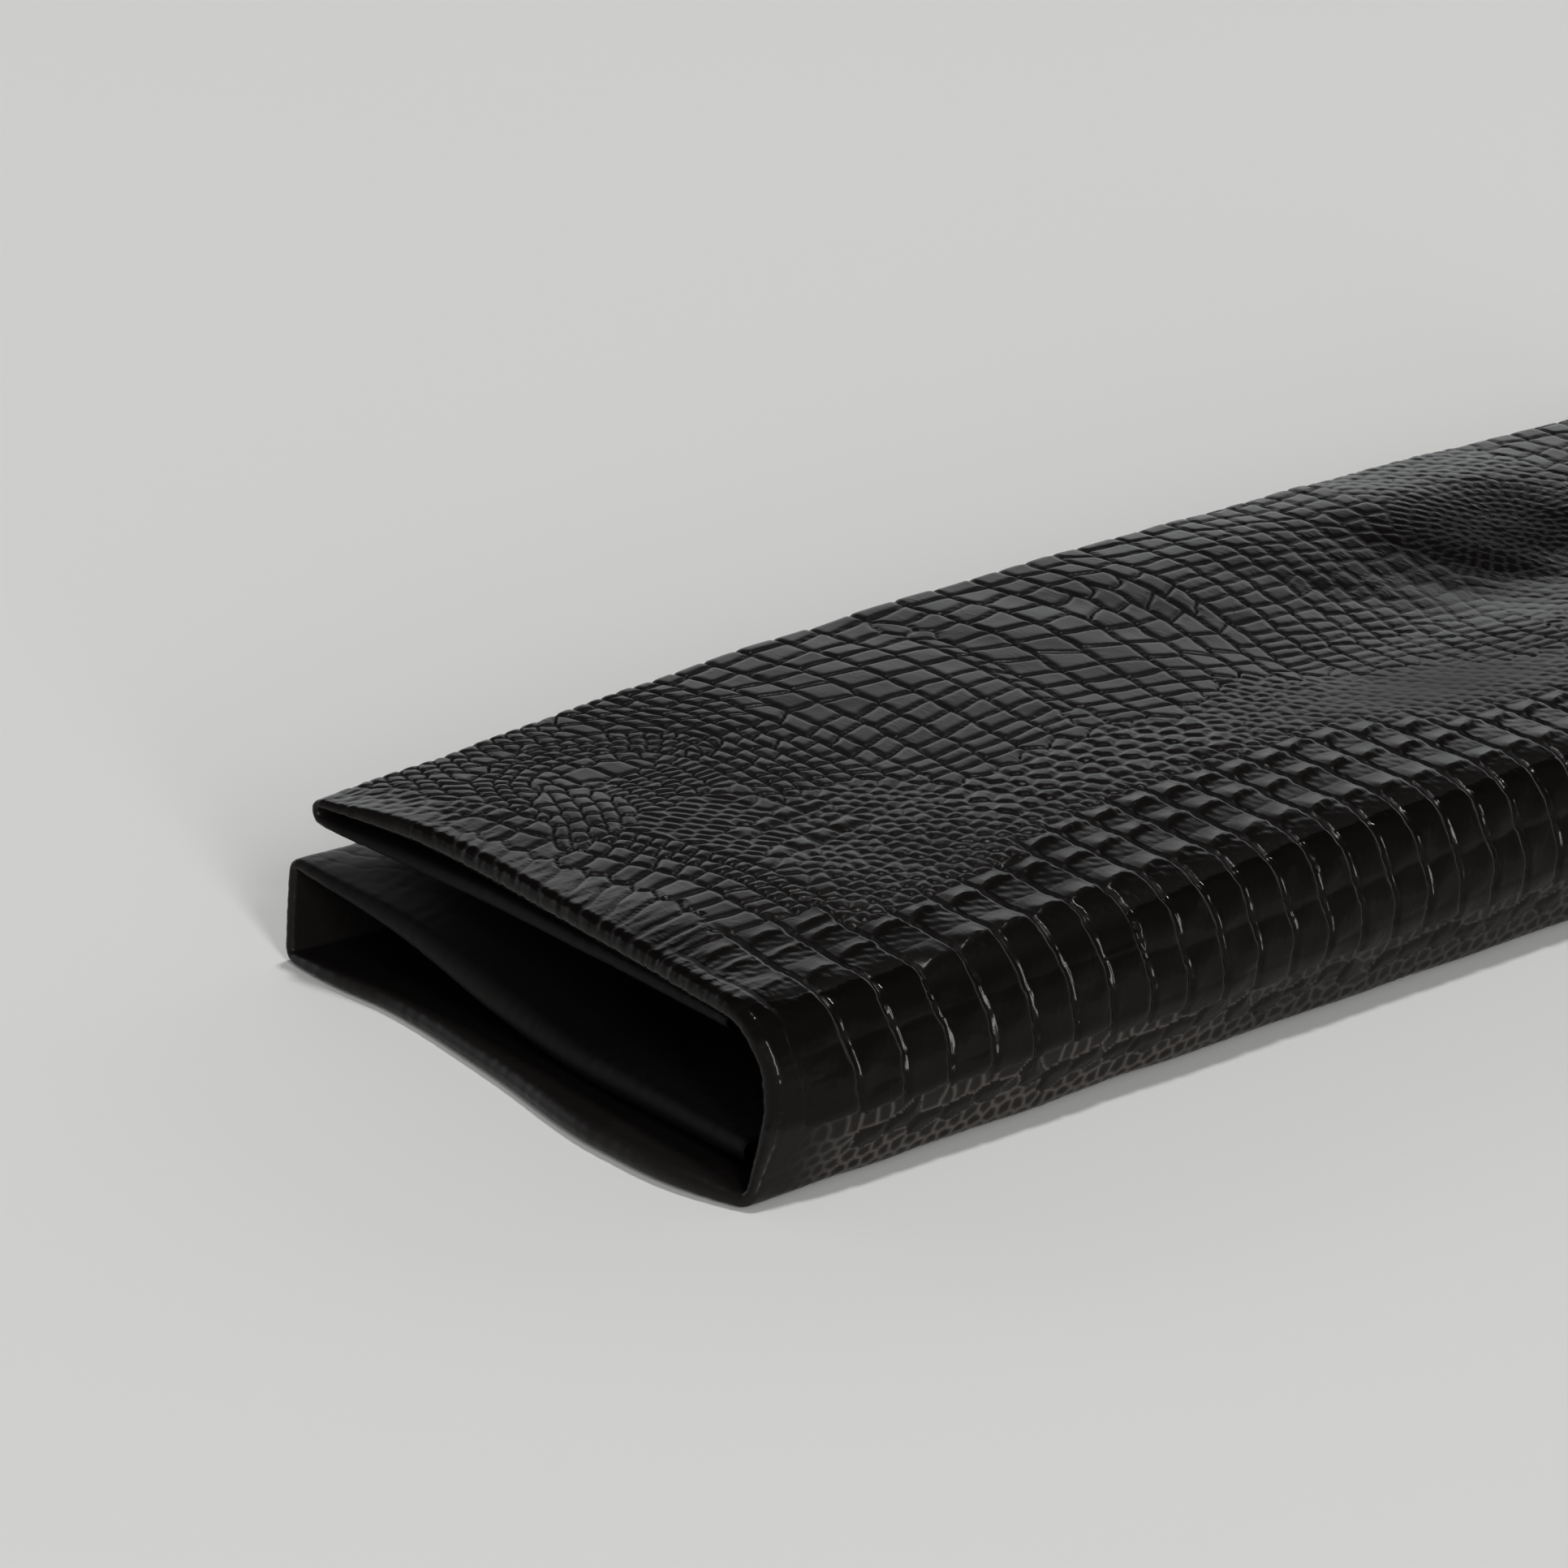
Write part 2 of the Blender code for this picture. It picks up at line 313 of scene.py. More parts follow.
def at_station(table, across_share, across_index, along):
    """Read a table of sections between its stations and its points."""
    place = np.clip(along / STATION_STEP, 0, len(STATION_PLACES) - 1.001)
    row = place.astype(int)
    share = (place - row)[..., None]
    w = across_share[..., None]
    near = table[row, across_index] * (1 - w) + table[row, across_index + 1] * w
    far = table[row + 1, across_index] * (1 - w) + table[row + 1, across_index + 1] * w
    return near * (1 - share) + far * share


def folded(a, b, height):
    """Points of the packet, in metres, for places on the flat hide and heights above the sheet's middle."""
    setback, roll = near_roll(a)
    lift = sway(a, abs(b)) * step(abs(b), 4, 40)
    end = far_end(a) - (b < 0) * INNER_END_SHORT
    stretch = ease((abs(b) - BLEND_FROM) / (HIDE_HALF - BLEND_FROM))
    b = b + np.sign(b) * (end - HIDE_HALF) * stretch
    swing = np.clip(b / roll, -math.pi / 2, math.pi / 2)
    behind = np.maximum(abs(b) - math.pi / 2 * roll, 0)
    along = setback + roll * (1 - np.cos(swing)) + behind
    # The inner sheet leaves the roll a full turn below the outer one, and closes up to it.
    closing = (SHEET + PAIR_GAP - 2 * roll) * ease(behind / FLARE) * (b < 0)
    depth = roll * (1 - np.sin(swing)) + closing - lift
    column = np.interp(a, across_hide, np.arange(len(across_hide)))
    index = np.clip(column.astype(int), 0, len(across_hide) - 2)
    middle = at_station(section_points, column - index, index, along)
    normal = at_station(section_normals, column - index, index, along)
    normal = normal / np.linalg.norm(normal, axis=-1, keepdims=True)
    flat = middle + normal * (np.sin(swing) * height - depth)[..., None]
    point = np.stack((along - np.cos(swing) * height, flat[..., 0], flat[..., 1]), axis=-1)
    point[..., 2] = np.maximum(point[..., 2], 0.0)  # what the packet lies on presses the scales flat
    return point * MM + PACKET_ORIGIN


near_roll_point = folded(np.array(AT["top_mid"]), np.array(0.0), np.array(SHEET / 2))
print("near roll of the top panel, m:", np.round(near_roll_point, 4))

# %% [markdown]
# ## The embossing plate
#
# The pattern is pressed into the hide with a heated steel plate, engraved after a crocodile skin. Its
# parts are laid out here in plate coordinates: `x` runs along the hide from the near end, and `y` across
# it from the ridge of the spine. The back has bands of humped scales, the belly has square tiles, the
# flanks have pebbles, and round each limb the pebbles turn in rings.
#
# Every scale starts as one point with a width, a height and a turn. The hide belongs to the scale it lies
# nearest to, counted in that scale's own widths and heights, much as cells share out a skin while it
# grows. Zones of any size and shape then meet without a seam. Each zone gives its points in turn, and a
# later zone keeps off the scales that are already there.

# %% Kinds of scale
Kind = namedtuple("Kind", "name hold cushion shoulder moat columns rows gap gloss")
KINDS = (
    # hold: below 1 it keeps the grooves between columns straight. A cushion rises over its shoulder, in mm,
    # behind a flat moat. Columns and rows are the depths of the grooves between them, and gap is their half
    # width, in mm. gloss: 0 is matt and 1 is wet.
    #    name      hold  cushion shoulder moat columns rows  gap   gloss
    Kind("neck",   0.60, 0.80,   3.6,     0.1, 0.60,   0.50, 0.70, 0.40),
    Kind("strip",  1.00, 0.45,   3.2,     0.1, 0.45,   0.40, 0.60, 0.60),
    Kind("belly",  0.45, 0.90,   3.4,     0.0, 0.60,   0.40, 0.65, 0.30),
    Kind("tile",   0.60, 0.75,   2.9,     0.0, 0.45,   0.35, 0.60, 0.30),
    Kind("pebble", 1.00, 0.75,   2.3,     0.4, 0.00,   0.00, 0.50, 0.30),
    Kind("bump",   1.00, 1.20,   4.0,     0.6, 0.20,   0.20, 0.60, 0.40),
    Kind("smooth", 1.00, 0.45,   2.6,     0.8, 0.00,   0.00, 0.50, 0.30),
    Kind("net",    1.00, -0.35,  1.6,     0.2, 0.00,   0.00, 0.50, 0.00),
    Kind("oval",   0.80, 1.00,   3.0,     0.6, 0.00,   0.00, 0.60, 0.45),
    Kind("rib",    1.00, 0.60,   2.2,     0.2, 0.25,   0.20, 0.50, 0.40),
)
KIND = {kind.name: i for i, kind in enumerate(KINDS)}
print("kinds of scale:", ", ".join(KIND))

# %% A zone of scales
CROWD = 6  # a new scale is held against this many of its nearest neighbours
MARGIN = 20  # mm past the hide's edges and the ridge, where scales are still wanted as neighbours
rng = np.random.default_rng(11)
scales = np.zeros((0, 7))  # one row for each scale: x, y, width, height, turn, kind, skew


def scale_tree():
    """A search tree of the scales' places."""
    tree = kdtree.KDTree(len(scales))
    for i, (x, y) in enumerate(scales[:, :2]):
        tree.insert((x, y, 0), i)
    tree.balance()
    return tree


def nearest(tree, places, count):
    """The numbers of the scales nearest to each place, one row for each place."""
    return np.array([[hit[1] for hit in tree.find_n((x, y, 0), count)] for x, y in places.tolist()])


def seen_from(places, beside):
    """The way from each scale to a place, in mm along that scale's own width and height."""
    away = places[:, None] - scales[beside, :2]
    c, s = np.cos(scales[beside, 4]), np.sin(scales[beside, 4])
    high = c * away[..., 1] - s * away[..., 0]
    return c * away[..., 0] + s * away[..., 1] - scales[beside, 6] * high, high


def emboss(places, width, height, kind, turn=0.0, shake=0.0, crowding=0.8, skew=0.0):
    """Add a zone's scales at places (x, y), leaving out those that would crowd the scales already there."""
    global scales
    places = np.asarray(places, float).reshape(-1, 2)
    places = places + rng.uniform(-shake, shake, places.shape)
    looks = (width, height, turn, KIND[kind], skew)
    new = np.column_stack([places] + [np.broadcast_to(look, len(places)) for look in looks])
    keep = (places[:, 1] < RIDGE + MARGIN) & (places[:, 1] > RIDGE - HIDE_WIDTH - MARGIN)
    if len(scales):
        beside = nearest(scale_tree(), places, min(CROWD, len(scales)))
        u, v = seen_from(places, beside)
        across = 2 * abs(u) / (scales[beside, 2] + new[:, 2:3])
        high = 2 * abs(v) / (scales[beside, 3] + new[:, 3:4])
        keep &= (np.maximum(across, high) > crowding).all(axis=1)
    scales = np.concatenate((scales, new[keep]))
    print(f"{kind}: {keep.sum()} scales")


# %% [markdown]
# Round a limb the scales lie on rings about a smooth eye. The limb at the near end is drawn by itself, as
# arcs of plates over columns of small beads. The first limb of the table lies past the middle of the
# packet's length, on the far slope of its deepest hollow, and the others are on parts that the folds
# hide. Two rows of larger bumps stand on the flank between the near limb and the back.

# %% Rings round the limbs
Limb = namedtuple("Limb", "x y rings bead squash eye")
LIMBS = (
    # rings: their radii. bead: the width of a scale along its ring. eye: the width and height of the eye.
    Limb(603, 216, (8, 13.5, 19, 25, 31.5, 39, 48), 5.8, 0.85, (9, 7)),
    Limb(-420, 235, (15, 20, 25.5, 31.5, 38), 6.2, 0.9, (20, 16)),
    Limb(250, -330, (8, 13.5, 19, 25, 31.5), 6.2, 0.9, (9, 7)),
    Limb(640, -250, (8, 13.5, 19, 25, 31.5), 6.2, 0.9, (9, 7)),
)
LAST_RING = 7  # how deep the last ring is
NEAR_ARCS = (104, 225)  # the middle of the near limb's arcs
ARCS = ((30, 22, 9.0, 9.0), (38, 30, 7.0, 7.0), (45, 37, 6.5, 6.5), (52, 44, 7.0, 6.5))
NEAR_PLATES = ((79, 232, 7), (87, 233, 8), (99, 233, 16), (114, 232, 13), (124.5, 230, 7))  # x, y and width

near_plates = np.array(NEAR_PLATES)
emboss(near_plates[:, :2], near_plates[:, 2], 13, "tile", 0.0, 0.0, 0.4)
# Each arc has its half width and height, then how deep and how wide its scales are.
for half, tall, deep, wide in ARCS:
    turns = np.arange(0.05, math.pi - 0.05, 2 * wide / (half + tall))
    arc = (NEAR_ARCS[0] + half * np.cos(turns), NEAR_ARCS[1] + tall * np.sin(turns))
    emboss(np.stack(arc, axis=1), deep, wide, "tile", turns, 0.4, 0.6)
beads = [(x + 0.05 * (y - 222), y - 4 * ((x - 118) / 20) ** 2 + rng.uniform(-1.2, 1.2))
         for x in np.arange(98, 142, 7.4) for y in np.arange(192, 223, 5.0)]
emboss(beads, 7.4, 5.0, "rib", -0.1, 0.8, 0.5)
slanted = [(x + 0.5 * (y - 205), y) for x in np.arange(60, 100, 8.5) for y in np.arange(182, 222, 9.5)]
emboss(slanted, 8.0, 10.0, "tile", -0.5, 0.8, 0.6)
for limb in LIMBS:
    emboss([(limb.x, limb.y)], limb.eye[0], limb.eye[1], "smooth")
    for radius, wider in zip(limb.rings, limb.rings[1:] + (limb.rings[-1] + LAST_RING,)):
        count = max(3, round(2 * math.pi * radius * (1 + limb.squash) / 2 / limb.bead))
        turns = 2 * math.pi * (np.arange(count) + rng.uniform()) / count
        ring = (limb.x + radius * np.cos(turns), limb.y + radius * limb.squash * np.sin(turns))
        emboss(np.stack(ring, axis=1), (wider - radius) * 1.05, limb.bead, "rib", turns, 0.5, 0.6)
bumps = [(109 + 12.5 * i + 2 * j, 118 + 25 * j + 1.5 * i) for j in range(2) for i in range(4)]
emboss(bumps, 12.5, 9.5, "bump", 0.12, 1.0)

# %% [markdown]
# The back's bands cross the ridge. They are wide at the neck and close to an even pitch, and they lean
# away from the neck as they come down the side. Each band is cut into rows of scales. The three upper
# rows carry a hump: a face that climbs from the row's upper line to a crest, and a front that drops from
# it. Two rows of long pillows lie over the bend and down the side, and below them a row that fades into
# the net of the belly's edge. The bands are so regular that a plain table describes them better than
# single scales would.

# %% Bands of the back
BACK_AT = (35, 59, 80, 100, 119, 140, 160, 180, 199, 219, 239, 256, 336, 351, 371, 391, 406, 425, 900)
BACK_LINES = (  # the upper line of each row at the places in BACK_AT, and last the lower line of the lowest
    (69, 69, 69, 47, 47, 50, 53, 56, 65, 72, 74, 76, 76, 80, 80, 77, 71, 58, 58),
    (50, 50, 56, 47, 47, 50, 53, 56, 52, 56, 57, 58.5, 58.5, 61, 61, 58, 54, 58, 58),
    (34, 36, 40, 22, 23.5, 26, 28.5, 31.5, 31, 34, 36, 36, 37, 36, 36, 36, 31, 34, 34),
    (13, 12, 12, -13, -13, -13, -13, -14, 3, 4.5, 5, 8, 8.5, 8.5, 8.5, 8.5, 8.5, 8.5, 8.5),
    (-13, -13, -13, -13, -13, -13, -13, -14, -17, -19, -19, -19, -19, -19, -19, -19, -19, -19, -19),
    (-33, -33, -33, -33, -33, -33, -34, -35, -36, -37, -37, -38, -38, -38, -38, -38, -38, -38, -38),
    (-42, -42, -42, -42, -43, -43, -43, -44, -45, -46, -46, -46, -46, -46, -46, -46, -46, -46, -46),
)
BACK_CRESTS = (  # the crests of the three upper rows
    (60, 61, 61, 47, 47, 50, 53, 56, 60.5, 66, 67.5, 67.5, 68, 73, 72, 69, 63, 58, 58),
    (46.5, 47, 51, 41, 41.5, 41.5, 46, 48, 44, 47, 50, 49.5, 50, 51.5, 51, 48, 45, 50, 50),
    (25, 25, 34, 10, 12.5, 14.3, 16.3, 19.8, 20.6, 23, 25, 25, 25.5, 24, 24, 23.5, 23, 24, 24),
)
BAND_LEAN = ((-45, -15, 15, 40, 70, 90, 110), (6, 3.5, 3, 0, -4, -9, -14))  # at a height, how far bands lean
BACK_ROWS = len(BACK_LINES) - 1
HUMP_ROWS = len(BACK_CRESTS)
PLATE_END = 900  # the bands run this far to both sides of the near roll
FIRST_LINE = 23.0
BAND_PITCH = 18.2
NECK_PITCH = 5.6  # the first band is wider by this much, and each one after it by less
INNER_PITCH = 25.0  # of the bands on the inner sheet, which nobody sees


def band_lines():
    """The grooves between the bands on the ridge, along the whole hide."""
    lines = [FIRST_LINE]
    while lines[-1] < PLATE_END:
        lines.append(lines[-1] + BAND_PITCH + NECK_PITCH * math.exp(-(len(lines) - 1) / 5))
    while lines[0] > -PLATE_END:
        lines.insert(0, lines[0] - INNER_PITCH)
    return np.array(lines)


bands = band_lines()
band_middles = (bands[1:] + bands[:-1]) / 2
unlike = rng.uniform(-0.9, 0.9, len(band_middles))
back_lines = np.array([np.interp(band_middles, BACK_AT, line) + unlike for line in BACK_LINES]).T
back_crests = np.array([np.interp(band_middles, BACK_AT, crest) + unlike for crest in BACK_CRESTS]).T
unlike_hump = rng.uniform(0.8, 1.15, back_crests.shape)
print("bands:", len(band_middles))

# %% Relief of the back
HUMP = 1.9  # mm, the height of a hump
FRONT = 4.6  # how far the front takes to fall
PILLOW = 0.9
Spot = namedtuple("Spot", "above row relief channel groove gloss pallor")


def dome(away, width):
    """0 at a border and 1 from a width away, with a steep start and a level end."""
    return 1 - (1 - np.clip(away / width, 0, 1)) ** 2


def back(x, y):
    """The back at places on the plate, as a Spot of arrays.

    Above is how far a place lies above the back's upper line, and row is its row of scales, with 0 the
    uppermost. Channel is the depth of the groove between two bands, which runs out beyond the back.
    """
    lean = np.interp(y, *BAND_LEAN) * np.where(y > 40, np.clip((x - 60) / 120, 0, 1), 1)
    place = x - lean
    band = np.clip(np.searchsorted(bands, place) - 1, 0, len(bands) - 2)
    by_column = np.minimum(place - bands[band], bands[band + 1] - place)
    aside = place - band_middles[band]
    y = y - 0.08 * aside
    lines = back_lines[band]
    row = (y[:, None] < lines).sum(axis=1) - 1
    inner = np.clip(row, 0, BACK_ROWS - 1)
    every = np.arange(len(x))
    high, low = lines[every, inner], lines[every, inner + 1]
    by_row = np.minimum(high - y, y - low)
    # The humps of the three upper rows.
    which = np.clip(inner, 0, HUMP_ROWS - 1)
    crest = back_crests[band, which] + 0.14 * aside - 0.014 * aside ** 2
    crest = np.clip(crest, low + 1, high - 1)
    climb = np.clip((high - y) / (high - crest), 0, 1)
    fall = np.clip((crest - y) / FRONT, 0, 1)
    tail = np.clip((crest - y) / np.maximum(crest - low, 1), 0, 1)
    face = 0.35 * climb + 0.65 * climb ** 2
    front = 1 - 0.85 * np.sin(math.pi / 2 * fall) - 0.15 * tail
    ends = 1 - 0.6 * step(abs(aside), 2.5, 8.5)
    hump = HUMP * np.where(y > crest, face, front) * ends * unlike_hump[band, which]
    hump *= 0.5 + 0.5 * step(x, 70, 130)
    pillow = PILLOW * dome(by_row, 9.0)
    relief = np.where(inner < HUMP_ROWS, hump, pillow * np.where(inner == BACK_ROWS - 1, 0.2, 1.0))
    # The shoulders towards the grooves are short on top and long on the side.
    side = step(y, 14, -6)
    relief += (0.08 + 0.62 * side) * dome(by_column, 1.6 + 1.6 * side)
    relief += 0.07 * wave(x, y, 5.5, 31) * (y < crest) * (1 - 0.5 * side) + 0.32 * side * wave(x, y, 17, 32)
    relief -= 0.12 * np.exp(-((by_row / 0.5) ** 2)) * (inner < HUMP_ROWS)
    wide = 1.45 - 0.25 * side
    run_out = 1 - step(y, lines[:, 0], lines[:, 0] + 14)
    channel = (1 - step(by_column, 0.35 * wide, wide)) * step(y, -50, -41) * run_out
    depth = 0.85 - 0.25 * side
    # The fronts of the humps and the whole side are wet, and the lowest row is drier again and painted paler,
    # which is painted sheen.
    wet = 0.45 * np.clip(3 * fall, 0, 1) * (1 - tail)
    matt_and_painted_sheen = step(y, -38, -43)
    gloss = np.where(inner < HUMP_ROWS, np.maximum(0.42 + wet, side), 1.0 - 0.5 * matt_and_painted_sheen)
    return Spot(y - lines[:, 0], row, relief, depth * channel, channel * (1 - side), gloss, 0.06 * matt_and_painted_sheen)


middle_of_top = back(np.full(5, 200.0), np.linspace(60, 20, 5))
print("back, from 60 to 20 mm over the ridge, mm:", np.round(middle_of_top.relief, 2))

# %% [markdown]
# At the neck the bands bend forward as they leave the back and split into tiles. The first band lies on
# the near roll, and it splits into long strips that fan out over the roll.

# %% Tiles and strips of the neck
# Where each column begins and ends along the hide, and how tall its tiles are.
NECK_COLUMNS = ((-4, 46, 12.5), (46, 66.5, 13.0), (66.5, 79, 10.0), (79, 87, 7.0), (87, 94.5, 7.0))
NECK_FROM, NECK_TO = 69.0, 222  # how far from the ridge the columns begin and end
neck = []
for low, high, tall in NECK_COLUMNS:
    first = low < 0
    y = NECK_FROM
    while y < NECK_TO:
        height = tall * rng.uniform(0.85, 1.15)
        shift = 22 * float(ease((y - 100) / 95)) + 6 * float(ease((y - 180) / 40))
        fan = 0.12 + 0.40 * float(ease((y - 80) / 35)) if first else 0.12
        x = (low + high) / 2 - shift * (0.6 if first else 1)
        neck.append((x, y + height / 2, high - low, height, fan, first))
        y += height
neck = np.array(neck)
strips = neck[:, 5] > 0
emboss(neck[strips, :2], neck[strips, 2], neck[strips, 3], "strip", neck[strips, 4], 0.5, 0.55)
emboss(neck[~strips, :2], neck[~strips, 2], neck[~strips, 3], "neck", neck[~strips, 4], 0.5, 0.55)

# %% [markdown]
# The belly's tiles stand in columns across the hide, in groups with their own slant. A group's rows are
# one set of heights, and they bow. Each column adds a little of its own, so the grooves between the
# columns run through and those within a column are slightly offset, as bricks are.

# %% Tiles of the belly
Belly = namedtuple("Belly", "lines lean fan slope pivot row")
LEAN_AT = (150, 200, 250, 290)
BELLIES = (
    # lines: the grooves between columns at y = 150. lean: how far they are moved at the places in LEAN_AT,
    # and fan: the share of it that the first column has. slope: of the rows, about the pivot. row: how tall
    # a row is.
    Belly((139, 147, 155, 163, 171, 180, 190), (0, 0, 2, 0), 1.0, 0.0, 290, 9.5),
    Belly((190, 201, 216, 233, 252, 271, 291), (0, 4, 6, 8), 0.2, 0.12, 290, 12.6),
    Belly((297, 317, 337, 356, 371, 384, 397, 409), (0, 10, 20, 20), 0.4, -0.22, 300, 13.4),
    Belly((409, 430, 445, 460, 472, 484, 496, 508, 520, 534, 548), (0, 9, 19, 22), 1.0, 0.0, 400, 10.0),
    Belly(tuple(range(664, 900, 15)), (0, 0, 0, 0), 1.0, 0.0, 664, 12.6),
    Belly(tuple(range(-892, -60, 16)), (0, 0, 0, 0), 1.0, 0.0, -60, 12.6),
)
BELLY_EDGE = (  # places along the hide, and how far from the ridge the belly begins there
    (139, 190, 205, 225, 300, 340, 380, 430, 475, 500, 560),
    (158, 150, 128, 124, 124, 128, 140, 122, 122, 95, 100),
)
BELLY_END = 420
BELLY_ROWS = 60  # more than enough to reach the belly's end
# One column of narrow tiles closes the wedge between the second group and the third.
wedge = [(294 + (y - 150) * 0.06, y) for y in np.arange(165, 250, 12)]
emboss(wedge, 6.0, 12, "tile", 0.0, 0.4, 0.6)
for belly in BELLIES:
    heights = belly.row * rng.uniform(0.84, 1.16, BELLY_ROWS)
    tiles = []
    for k, (left, right) in enumerate(zip(belly.lines, belly.lines[1:])):
        lean = np.array(belly.lean) * (belly.fan + (1 - belly.fan) * k / (len(belly.lines) - 2))
        y = 60 + rng.uniform(-0.12, 0.12) * belly.row
        for height in heights * rng.uniform(0.95, 1.05, BELLY_ROWS):
            height = height * (0.8 + 0.35 * float(ease((y - 140) / 70)))
            x = (left + right) / 2 + float(np.interp(y, LEAN_AT, lean))
            leaning = float(np.interp(y + 8, LEAN_AT, lean) - np.interp(y - 8, LEAN_AT, lean)) / 16
            slope, slope_above = belly.slope * (1 - ease((np.array((y, y + height)) - 180) / 110))
            low = y + slope * (x - belly.pivot)
            high = y + height + slope_above * (x - belly.pivot)
            if np.interp(x, *BELLY_EDGE) < low < BELLY_END:
                bowed = x + math.sin(y / 17 + x / 50)
                skew = leaning + slope
                tiles.append((bowed, (low + high) / 2, right - left, high - low, math.atan(slope), skew))
            y += height
    x, y, width, height, turn, skew = np.array(tiles).T
    emboss(np.stack((x, y), axis=1), width, height, "belly", turn, 0.4, 0.42, skew)

# %% [markdown]
# What is left is filled from large to small: tiles of 12 mm on the panels that show little, then pebbles
# of 7 mm on the flanks, which lie in slanting rows. Under the bend of the side, a row of ovals stands in
# the net of the belly's other edge.

# %% Small tiles and pebbles
Fill = namedtuple("Fill", "x0 x1 y0 y1 width height shake turn kind")
FILLS = (
    Fill(-880, 880, 300, 700, 13.0, 12.0, 1.5, 0.0, "tile"),
    Fill(-880, 880, -740, -385, 12.5, 11.0, 1.5, 0.0, "tile"),
    Fill(-880, 880, -385, -150, 12.0, 11.0, 1.5, 0.0, "tile"),
    Fill(-880, 880, -150, -44, 7.0, 5.0, 0.8, 0.1, "net"),
    Fill(200, 330, 88, 126, 12.0, 8.5, 1.0, 0.05, "oval"),
    Fill(40, 155, 248, 300, 8.6, 7.6, 1.2, 0.15, "tile"),
    Fill(48, 130, 118, 200, 5.6, 9.0, 0.8, 0.5, "pebble"),
    Fill(-880, 880, 40, 300, 7.4, 6.6, 1.7, 0.2, "pebble"),
)
ovals = [(x, -54 + 2 * math.sin(x / 9)) for x in np.arange(60, 430, 16)]
emboss(ovals, 12, 7, "oval", 0.1, 1.5, 0.3)
for fill in FILLS:
    reach = max(fill.x1 - fill.x0, fill.y1 - fill.y0)
    columns, rows = np.arange(-reach, reach, fill.width), np.arange(-reach, reach, fill.height)
    u, v = np.meshgrid(columns, rows, indexing="ij")
    u = u + fill.width / 2 * (np.arange(v.shape[1]) % 2)
    c, s = math.cos(fill.turn), math.sin(fill.turn)
    x = (fill.x0 + fill.x1) / 2 + c * u - s * v
    y = (fill.y0 + fill.y1) / 2 + s * u + c * v
    inside = (x > fill.x0) & (x < fill.x1) & (y > fill.y0) & (y < fill.y1)
    places = np.stack((x[inside], y[inside]), axis=1)
    sizes = rng.uniform(0.8, 1.2, (2, len(places)))
    emboss(places, fill.width * sizes[0], fill.height * sizes[1], fill.kind, fill.turn, fill.shake)
print("scales on the hide:", len(scales))

# %% [markdown]
# ## The relief
#
# The height of the grain at any place follows from the bands, or from the nearest scales. The distance to
# the border with the next scale makes the groove and the cushion, which is steep at its edge and nearly
# level on top.

# %% Borders between scales
NEIGHBOURS = 9
FAR = 1e3  # mm, where there is no border of that sort
kind_table = np.array([kind[1:] for kind in KINDS])
uneven_table = rng.uniform(-1, 1, (len(scales), 3))
tree = scale_tree()


def borders(places):
    """The scale that each place belongs to, and how far off its borders with the next row and column are."""
    beside = nearest(tree, places, NEIGHBOURS)
    u, v = seen_from(places, beside)
    width, height, turn, kind, skew = np.moveaxis(scales[beside, 2:], -1, 0)
    w, h = width * kind_table[kind.astype(int), 0], height
    # Nearness to each scale in its own measure, and the way in which that nearness changes fastest.
    near = (u / w) ** 2 + (v / h) ** 2
    c, s = np.cos(turn), np.sin(turn)
    along_x = (c + skew * s) * u / w ** 2 - s * v / h ** 2
    along_y = (s - skew * c) * u / w ** 2 + c * v / h ** 2
    change = 2 * np.stack((along_x, along_y), axis=-1)
    rows = np.arange(len(places))
    own = near.argmin(axis=1)
    contrast = np.linalg.norm(change - change[rows, own][:, None], axis=-1)
    border = (near - near[rows, own][:, None]) / np.maximum(contrast, 1e-6)
    border[rows, own] = FAR
    # A neighbour is either in the next column or in the next row.
    owner = beside[rows, own]
    du, dv = seen_from(scales[owner, :2], beside)
    in_column = abs(du) / width < abs(dv) / height
    by_row = np.where(in_column, border, FAR).min(axis=1)
    by_column = np.where(in_column, FAR, border).min(axis=1)
    return owner, by_row, by_column


def single_scales(places, above):
    """Relief, groove, gloss and painted sheen (a paler colour) where single scales lie, and how far above the
    back's upper line.
    """
    owner, by_row, by_column = borders(places)
    by_row = np.where(above > 0, np.minimum(by_row, above), by_row)
    _, cushion, shoulder, moat, columns, row_depth, gap, gloss = kind_table[scales[owner, 5].astype(int)].T
    half = np.minimum(scales[owner, 2], scales[owner, 3]) / 2
    uneven = uneven_table[owner]
    away = places - scales[owner, :2]
    edge = np.minimum(by_row, by_column)
    in_row, in_line = np.exp(-((by_row / gap) ** 2)), np.exp(-((by_column / gap) ** 2))
    relief = cushion * dome(np.maximum(edge - moat, 0), np.minimum(shoulder, half)) * (1 + 0.2 * uneven[:, 0])
    relief -= columns * in_line + row_depth * in_row
    relief += (uneven[:, 1] * away[:, 0] + uneven[:, 2] * away[:, 1]) * 0.02
    groove = np.maximum(in_line * (columns > 0), in_row * (row_depth > 0))
    # The ridges of the net are painted paler low down at the near end of the side, which is painted sheen.
    painted_sheen_zone = step(places[:, 0], 25, 60) * step(places[:, 1], -86, -76)
    pallor = np.exp(-((edge / 0.8) ** 2)) * (cushion < 0) * painted_sheen_zone * (1 - 0.5 * step(places[:, 0], 190, 290))
    return relief, groove, gloss, pallor


print("scales with their own tilt:", len(uneven_table))
